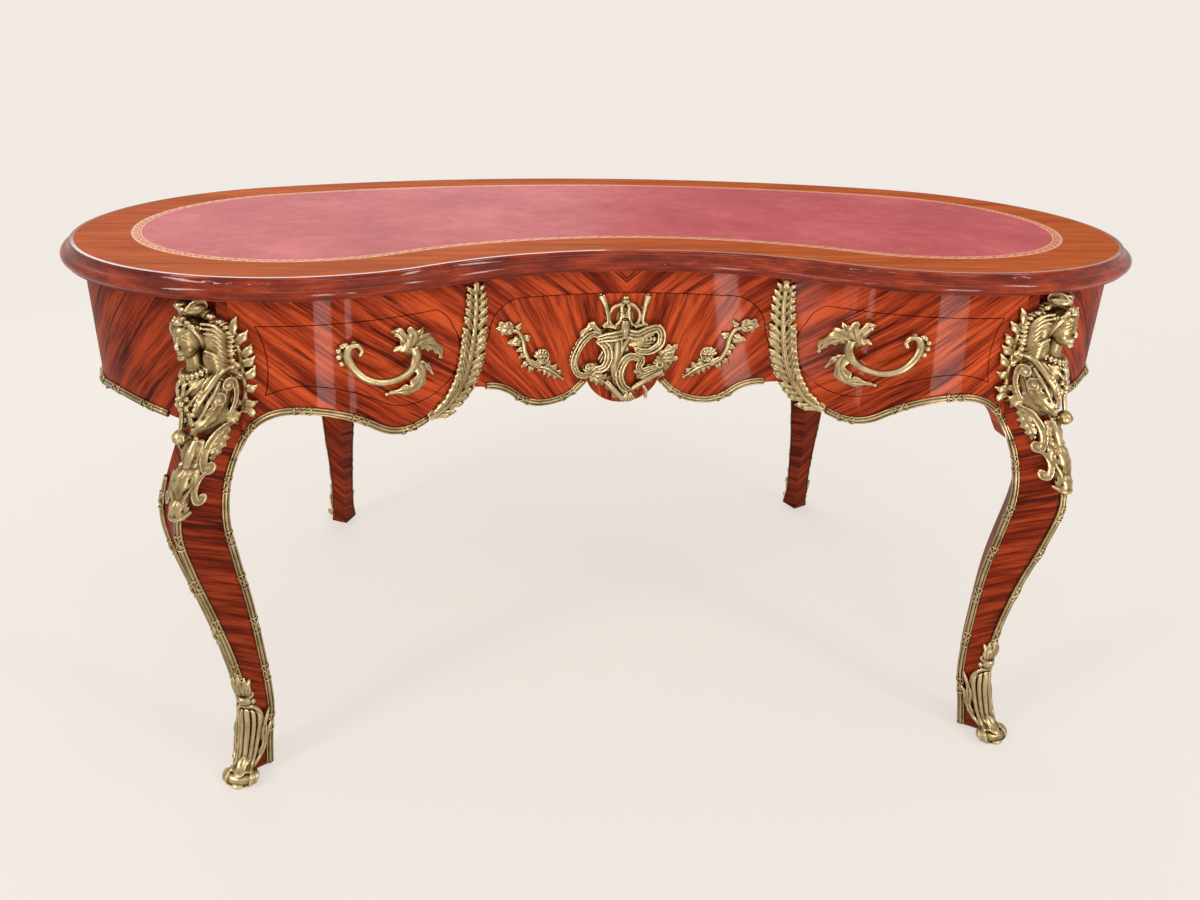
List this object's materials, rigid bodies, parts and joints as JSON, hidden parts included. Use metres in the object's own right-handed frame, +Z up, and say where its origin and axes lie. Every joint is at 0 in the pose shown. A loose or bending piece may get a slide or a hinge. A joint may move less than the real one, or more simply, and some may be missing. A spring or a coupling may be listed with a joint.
{
  "type": "bureau plat",
  "caption": "Kidney-shaped writing table in striped veneer with a leather top, cabriole legs, gilt bronze mounts and three frieze drawers",
  "frame": {"origin": "middle of the plan box, on the floor under the four toes", "axes": "+X to the right of a person sitting at the hollow front, +Y to the back, +Z up"},
  "size_m": [1.8538, 0.9299, 0.78],
  "materials": {
    "veneer": "glossy polished striped kingwood veneer",
    "top_veneer": "semi-gloss polished veneer",
    "lipping": "high gloss dark polish with small worn nicks",
    "oak": "plain waxed oak",
    "leather": "worn satin hide with gold tooled border",
    "gilt_bronze": "aged gilt bronze with dark recesses",
    "lock_brass": "dull brass plate",
    "lock_steel": "filed steel"
  },
  "bodies": {
    "carcass": {"top_panel": "top_veneer", "leather_panel": "leather", "top_edge_moulding": "lipping", "front_apron": "veneer", "back_apron": "veneer", "end_apron_left": "veneer", "end_apron_right": "veneer", "leg_front_left": "veneer", "leg_front_right": "veneer", "leg_back_left": "veneer", "leg_back_right": "veneer", "partition_left": "oak", "partition_right": "oak", "drawer_runners_left": "oak", "drawer_runners_right": "oak", "drawer_runners_centre": "oak", "drawer_stops": "oak", "top_fixing_blocks": "oak", "leaf_mount_left": "gilt_bronze", "leaf_mount_right": "gilt_bronze", "edging_front_left": "gilt_bronze", "edging_front_right": "gilt_bronze", "end_clasp_left": "gilt_bronze", "end_clasp_right": "gilt_bronze", "edging_end_left": "gilt_bronze", "edging_end_right": "gilt_bronze", "sabot_front_left": "gilt_bronze", "sabot_front_right": "gilt_bronze", "sabot_back_left": "gilt_bronze", "sabot_back_right": "gilt_bronze", "figure_front_left": "gilt_bronze", "figure_front_right": "gilt_bronze", "figure_back_left": "gilt_bronze", "figure_back_right": "gilt_bronze", "leg_edging_front_left": "gilt_bronze", "leg_edging_front_right": "gilt_bronze", "leg_edging_back_left": "gilt_bronze", "leg_edging_back_right": "gilt_bronze", "edging_back": "gilt_bronze"},
    "drawer_left": {"drawer_front_left": "veneer", "drawer_sides_left": "oak", "drawer_back_left": "oak", "drawer_bottom_left": "oak", "pull_left": "gilt_bronze"},
    "drawer_right": {"drawer_front_right": "veneer", "drawer_sides_right": "oak", "drawer_back_right": "oak", "drawer_bottom_right": "oak", "pull_right": "gilt_bronze"},
    "drawer_centre": {"drawer_front_centre": "veneer", "drawer_sides_centre": "oak", "drawer_back_centre": "oak", "drawer_bottom_centre": "oak", "escutcheon_cartouche": "gilt_bronze", "spray_left": "gilt_bronze", "spray_right": "gilt_bronze", "edging_centre": "gilt_bronze", "lock_case": "lock_brass"},
    "lock_bolt": {"lock_bolt": "lock_steel"}
  },
  "joints": [
    {"name": "drawer_left_slide", "type": "slide", "parent": "carcass", "child": "drawer_left", "axis": [0, -1, 0], "range_m": [0, 0.3]},
    {"name": "drawer_right_slide", "type": "slide", "parent": "carcass", "child": "drawer_right", "axis": [0, -1, 0], "range_m": [0, 0.3]},
    {"name": "drawer_centre_slide", "type": "slide", "parent": "carcass", "child": "drawer_centre", "axis": [0, -1, 0], "range_m": [0, 0.28]},
    {"name": "lock_bolt_slide", "type": "slide", "parent": "drawer_centre", "child": "lock_bolt", "axis": [0, 0, 1], "range_m": [0, 0.008]}
  ]
}
